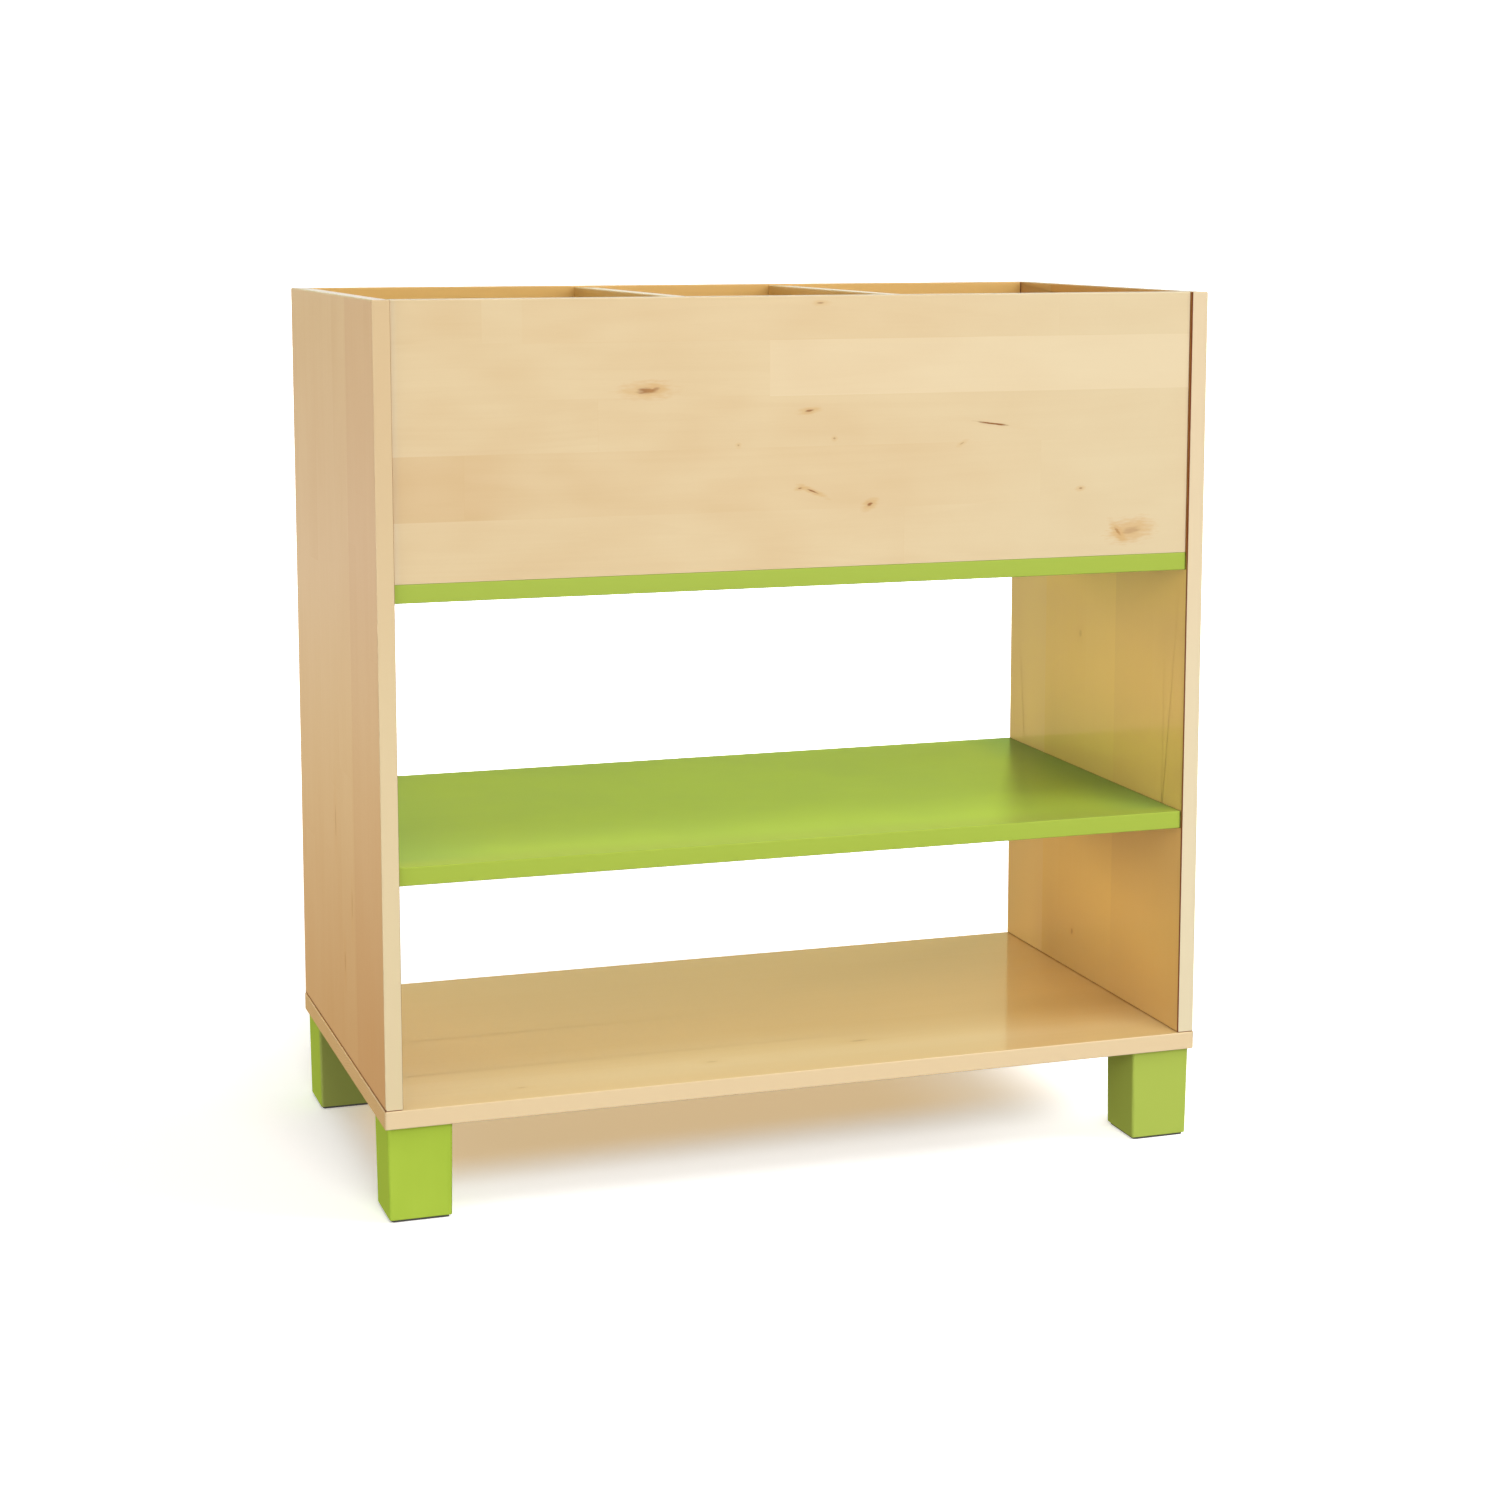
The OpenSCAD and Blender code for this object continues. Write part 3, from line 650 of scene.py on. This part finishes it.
def zinc_plate():
    """Zinc-plated steel with its faint spangle and turning marks."""
    paint = new_paint("zinc_plate")
    place, _ = paint.place()
    sockets = {"Vector": place, "Scale": SPANGLE_SCALE}
    spangle = paint.node("ShaderNodeTexVoronoi", {"feature": "F1"}, sockets)
    tarnish = paint.noise(place, TARNISH_SCALE, 3.0)
    colour = paint.mix(spangle * 0.4, rgb(206, 208, 210), rgb(176, 180, 186))
    colour = paint.mix(tarnish.step(0.55, 0.8) * 0.4, colour, rgb(188, 182, 160))
    return paint.finish(
        Base_Color=colour,
        Metallic=1.0,
        Roughness=0.30 + tarnish * 0.16,
        Normal=paint.bump(paint.noise(place, TURNING_SCALE), PLATE_RELIEF, 0.5),
    )


def cast_zinc():
    """Die-cast zinc of the cam locks: satin, with a grainy skin."""
    paint = new_paint("cast_zinc")
    place, _ = paint.place()
    skin = paint.noise(place, CASTING_SCALE, 3.0, 0.65)
    cloud = paint.noise(place, CASTING_CLOUD_SCALE)
    return paint.finish(
        Base_Color=paint.mix(cloud, rgb(204, 202, 196), rgb(172, 170, 166)),
        Metallic=0.9,
        Roughness=0.42 + skin * 0.18,
        Normal=paint.bump(skin, CAST_RELIEF, 0.6),
    )


def bare_beech():
    """Bare beech of the dowels, with its short dark flecks."""
    paint = new_paint("bare_beech")
    place, _ = paint.place()
    grain = paint.noise(place, BEECH_SCALE, 3.0, 0.6)
    fleck = paint.noise(place, FLECK_SCALE, 1.0).step(0.62, 0.74)
    colour = paint.mix(grain, rgb(226, 192, 150), rgb(200, 160, 116))
    return paint.finish(
        Base_Color=paint.mix(fleck * 0.5, colour, rgb(150, 104, 66)),
        Roughness=0.62 + grain * 0.15,
        Normal=paint.bump(grain, BEECH_RELIEF, 0.6),
    )


def nylon():
    """Moulded grey nylon of the glides, with a fine matt texture."""
    paint = new_paint("moulded_nylon")
    place, _ = paint.place()
    skin = paint.noise(place, NYLON_SCALE)
    scuff = paint.noise(place, SCUFF_SCALE, 3.0, 0.65)
    return paint.finish(
        Base_Color=paint.mix(scuff, rgb(70, 68, 64), rgb(88, 86, 82)),
        Roughness=0.55 + scuff * 0.2,
        Normal=paint.bump(skin, CAST_RELIEF, 0.7),
    )


# Pieces

EASED_EDGE = 0.8 * MM
SHARP_EDGE = math.radians(40.0)
WELD_GAP = 0.01 * MM


def ease_edges(piece):
    """Rounds over the sharp edges of a piece, as sanding does."""
    weld = piece.modifiers.new("weld", "WELD")
    weld.merge_threshold = WELD_GAP
    ease = piece.modifiers.new("ease", "BEVEL")
    ease.width = EASED_EDGE
    ease.segments = 2
    ease.limit_method = "ANGLE"
    ease.angle_limit = SHARP_EDGE
    ease.use_clamp_overlap = False


def dress(piece, material):
    """Gives a piece one material in every slot."""
    if not piece.material_slots:
        piece.data.materials.append(material)
    for slot in piece.material_slots:
        slot.material = material


def paint_rest(nodes, record):
    """Every other node gets the finish of its slot in the record."""
    finishes = {
        "zinc_plated_steel": zinc_plate(),
        "cam_zinc": cast_zinc(),
        "dowel_wood": bare_beech(),
        "nylon_glide": nylon(),
    }
    shelf_green = green_lacquer(
        "green_shelf_lacquer", ALONG_X, gloss=0.3, shine=0.15, tint=(1.04, 0.99, 1.08),
        stains=SHELF_PAINTED_SHADE, joints=[RIGHT_END],
    )
    leg_green = green_lacquer(
        "green_leg_lacquer", ALONG_Z, gloss=0.0, shine=0.02, tint=(1.05, 0.98, 1.15),
        stains=LEG_PAINTED_BOUNCE_LIGHT,
    )
    for part in record["subparts"]:
        piece = nodes[part["node"]]
        if part["material_slot"] in finishes:
            dress(piece, finishes[part["material_slot"]])
        elif part["material_slot"] == "green_lacquered_wood":
            dress(piece, leg_green if "leg" in part["node"] else shelf_green)


def ease_boards_and_legs(nodes, record):
    """Eases every lacquered piece."""
    for part in record["subparts"]:
        if part["material_slot"] in ("clear_lacquered_wood", "green_lacquered_wood"):
            ease_edges(nodes[part["node"]])


# Room

FLOOR_SIZE = 40.0
FLOOR_DROP = 0.2 * MM
DOME_RADIUS = 38.0

# Floor and dome glow by themselves in these colours. The warm glow under the board is painted bounce light
# from its wood, and the brighter glow to the right is painted light that thins the floor's shadow there. The
# glow under the board has limits at its sides, front and rear, and the other glows one each: where it
# starts, and where it is full.
OVER_WHITE = (1.2, 1.2, 1.2, 1.0)
NEAR_GLOW = (0.40, 0.39, 0.37, 1.0)
PAINTED_RIGHT_GLOW = (0.66, 0.65, 0.62, 1.0)
PAINTED_BOUNCE_GLOW = (0.46, 0.33, 0.18, 1.0)
UNDER_SIDES = (0.45, 0.37)
UNDER_FRONT = (-0.14, -0.02)
UNDER_REAR = (0.22, 0.12)
UNDER_SLANT = 0.05
RIGHT_FLOOR = (0.16, 0.52)
AWAY = (0.9, 2.4)

# World light from below and above, and the stops of the wall of light behind: the height of
# the direction, as the Z of a unit vector, and the colour
FLOOR_LIGHT = (0.20, 0.19, 0.18, 1.0)
ROOM_LIGHT = (0.06, 0.06, 0.06, 1.0)
WALL_LOW, WALL_HIGH = -0.35, 0.45
WALL_LIGHT = [
    (-0.35, (0.60, 0.32, 0.10)),
    (-0.28, (0.66, 0.37, 0.12)),
    (-0.20, (0.84, 0.59, 0.30)),
    (-0.12, (0.94, 0.73, 0.50)),
    (-0.03, (0.82, 0.62, 0.34)),
    (0.02, (1.00, 1.00, 0.95)),
    (0.10, (1.00, 0.98, 0.90)),
    (0.16, (0.54, 0.62, 0.08)),
    (0.22, (0.54, 0.62, 0.08)),
    (0.24, (1.00, 0.95, 0.50)),
    (0.29, (0.95, 0.92, 0.55)),
    (0.40, (0.50, 0.50, 0.40)),
]


def white_surface(name):
    """Matt white that glows by itself: least near the bookcase, with painted warm bounce light under its
    board and painted light towards its right.
    """
    paint = new_paint(name)
    place, parts = paint.place()
    cloud = paint.noise(place, 1.5)
    away = (parts["X"] * parts["X"] + parts["Y"] * parts["Y"]) ** 0.5
    deep = parts["Y"] - parts["X"] * UNDER_SLANT
    under = abs(parts["X"]).step(*UNDER_SIDES) * deep.step(*UNDER_FRONT) * parts["Y"].step(*UNDER_REAR)
    glow = paint.mix(under, NEAR_GLOW, PAINTED_BOUNCE_GLOW)
    glow = paint.mix(parts["X"].step(*RIGHT_FLOOR), glow, PAINTED_RIGHT_GLOW)
    return paint.finish(
        Base_Color=paint.mix(cloud, (1.0, 1.0, 1.0, 1.0), (0.98, 0.98, 0.98, 1.0)),
        Roughness=0.9,
        Specular_IOR_Level=0.0,
        Emission_Color=paint.mix(away.step(*AWAY), glow, OVER_WHITE),
        Emission_Strength=1.0,
    )


def new_stage(name, mesh, material):
    """A stage piece that the camera sees, but that sends no light to the bookcase."""
    data = bpy.data.meshes.new(name)
    mesh.to_mesh(data)
    mesh.free()
    piece = bpy.data.objects.new(name, data)
    bpy.context.scene.collection.objects.link(piece)
    dress(piece, material)
    piece.visible_diffuse = False
    piece.visible_glossy = False
    piece.visible_transmission = False
    return piece


def make_room():
    """White floor, and a white dome far round it."""
    mesh = bmesh.new()
    bmesh.ops.create_grid(mesh, x_segments=4, y_segments=4, size=FLOOR_SIZE)
    bmesh.ops.translate(mesh, vec=(0.0, 0.0, -FLOOR_DROP), verts=mesh.verts)
    floor = new_stage("studio_floor", mesh, white_surface("floor_white"))
    mesh = bmesh.new()
    bmesh.ops.create_icosphere(mesh, subdivisions=4, radius=DOME_RADIUS)
    dome = new_stage("studio_dome", mesh, white_surface("dome_white"))
    dome.visible_shadow = False
    return floor


def light_world():
    """Soft light all round, and a wall of light behind the bookcase, which its lacquer mirrors."""
    world = bpy.data.worlds.new("studio_world")
    bpy.context.scene.world = world
    sky = Paint(world)
    way = sky.split(sky.node("ShaderNodeTexCoord", output="Generated"))
    height = way["Z"]
    behind = way["Y"].step(0.45, 0.85) * abs(height).step(0.55, 0.35)
    colour = sky.mix(height.step(-0.05, 0.05), FLOOR_LIGHT, ROOM_LIGHT)
    reach = WALL_HIGH - WALL_LOW
    stops = [((place - WALL_LOW) / reach, (*light, 1.0)) for place, light in WALL_LIGHT]
    wall = sky.node("ShaderNodeValToRGB", {"stops": stops}, {0: (height - WALL_LOW) / reach})
    colour = sky.mix(behind, colour, wall)
    glow = sky.node("ShaderNodeBackground", values={"Color": colour, "Strength": 1.0})
    sky.node("ShaderNodeOutputWorld", values={"Surface": glow})


# Lamps

def add_lamp(light, skip, only):
    """Puts a lamp in the scene, which skips some pieces or lights some alone."""
    lamp = bpy.data.objects.new(light.name, light)
    bpy.context.scene.collection.objects.link(lamp)
    if skip or only:
        group = bpy.data.collections.new(light.name + "_link")
        for piece in skip or only:
            group.objects.link(piece)
        for link in group.collection_objects:
            link.light_linking.link_state = "EXCLUDE" if skip else "INCLUDE"
        lamp.light_linking.receiver_collection = group
    return lamp


def soft_box(name, place, aim, size, power, colour=(1.0, 1.0, 1.0), mirrored=True, skip=(), only=()):
    """Rectangular soft light at a place, turned to a point. Lacquer may mirror it or not."""
    light = bpy.data.lights.new(name, "AREA")
    light.shape = "RECTANGLE"
    light.size, light.size_y = size
    light.energy = power
    light.color = colour
    lamp = add_lamp(light, skip, only)
    lamp.location = place
    lamp.visible_camera = False
    lamp.visible_glossy = mirrored
    run = [a - p for a, p in zip(aim, place)]
    flat = math.hypot(run[0], run[1])
    lamp.rotation_euler = (math.atan2(flat, -run[2]), 0.0, math.atan2(run[1], run[0]) - math.pi / 2)


def sun(name, strength, spread, tilt, skip=(), only=()):
    """Broad light from above, tilted so many degrees towards the front and towards the right."""
    light = bpy.data.lights.new(name, "SUN")
    light.energy = strength
    light.angle = math.radians(spread)
    lamp = add_lamp(light, skip, only)
    lamp.rotation_euler = (math.radians(tilt[0]), math.radians(tilt[1]), 0.0)


def light_room(floor, nodes):
    """Lamps for the bookcase, which leave out the floor, and suns for the floor alone."""
    middle = (0.0, 0.0, 0.5)
    left_legs = [nodes["front_left_leg"], nodes["rear_left_leg"]]
    rear_legs = [nodes["rear_left_leg"], nodes["rear_right_leg"]]
    shelf = nodes["middle_shelf"]
    soft_box("front_high", (-0.3, -3.6, 2.2), middle, (2.8, 1.8), 26.0, (1.0, 0.97, 0.94), skip=[floor])
    soft_box("right_front_high", (2.0, -3.2, 2.1), middle, (2.6, 2.4), 75.0, (1.0, 0.99, 0.99), skip=[floor])
    soft_box("left_front", (-3.6, -1.8, 0.9), middle, (2.6, 1.8), 61.0, (1.0, 0.97, 0.92), skip=[floor])
    sun("overhead", 1.3, 35.0, (18.0, 0.0), skip=[floor])
    soft_box(
        "front_low", (0.4, -3.2, 0.3), (0.0, 0.0, 0.1), (2.4, 0.9), 34.0, (1.0, 0.98, 1.0),
        mirrored=False, skip=[floor, *rear_legs],
    )
    soft_box("right_side", (3.6, 0.6, 1.6), middle, (2.2, 1.8), 70.0, mirrored=False, skip=[floor])
    soft_box(
        "back_low", (-0.4, 3.4, 1.1), (0.0, 0.0, 0.12), (3.0, 0.8), 110.0, (1.0, 0.94, 0.76),
        mirrored=False, skip=[floor, shelf],
    )
    soft_box(
        "floor_bounce", (-1.9, 0.1, 0.1), (-0.45, 0.0, 0.05), (1.2, 0.4), 4.2, (0.75, 1.0, 0.8),
        mirrored=False, only=left_legs,
    )
    soft_box(
        "shelf_back", (1.83, 3.41, 2.0), (0.0, 0.0, 0.4), (0.3, 0.3), 175.0, (1.0, 0.97, 0.75),
        mirrored=False, only=[shelf],
    )
    sun("floor_front", 1.5, 25.0, (52.0, 0.0), only=[floor])
    sun("floor_right", 1.79, 30.0, (12.0, 44.0), only=[floor])
    sun("floor_above", 1.0, 150.0, (10.0, 5.0), only=[floor])


# Camera and sizes

def place_camera():
    """Camera at the photograph's viewing angle."""
    data = bpy.data.cameras.new("camera")
    data.lens = CAMERA_LENS
    data.sensor_width = CAMERA_SENSOR
    data.shift_y = CAMERA_SHIFT
    camera = bpy.data.objects.new("camera", data)
    bpy.context.scene.collection.objects.link(camera)
    camera.location = CAMERA_PLACE
    camera.rotation_euler = (math.pi / 2 - CAMERA_TILT, 0.0, -CAMERA_TURN)
    bpy.context.scene.camera = camera


bpy.context.scene.view_settings.view_transform = "Standard"
bpy.context.scene.view_settings.look = "None"
place_camera()
room_floor = make_room()
light_world()
light_room(room_floor, frame["nodes"])
paint_boards(frame["nodes"])
paint_rest(frame["nodes"], frame["record"])
ease_boards_and_legs(frame["nodes"], frame["record"])
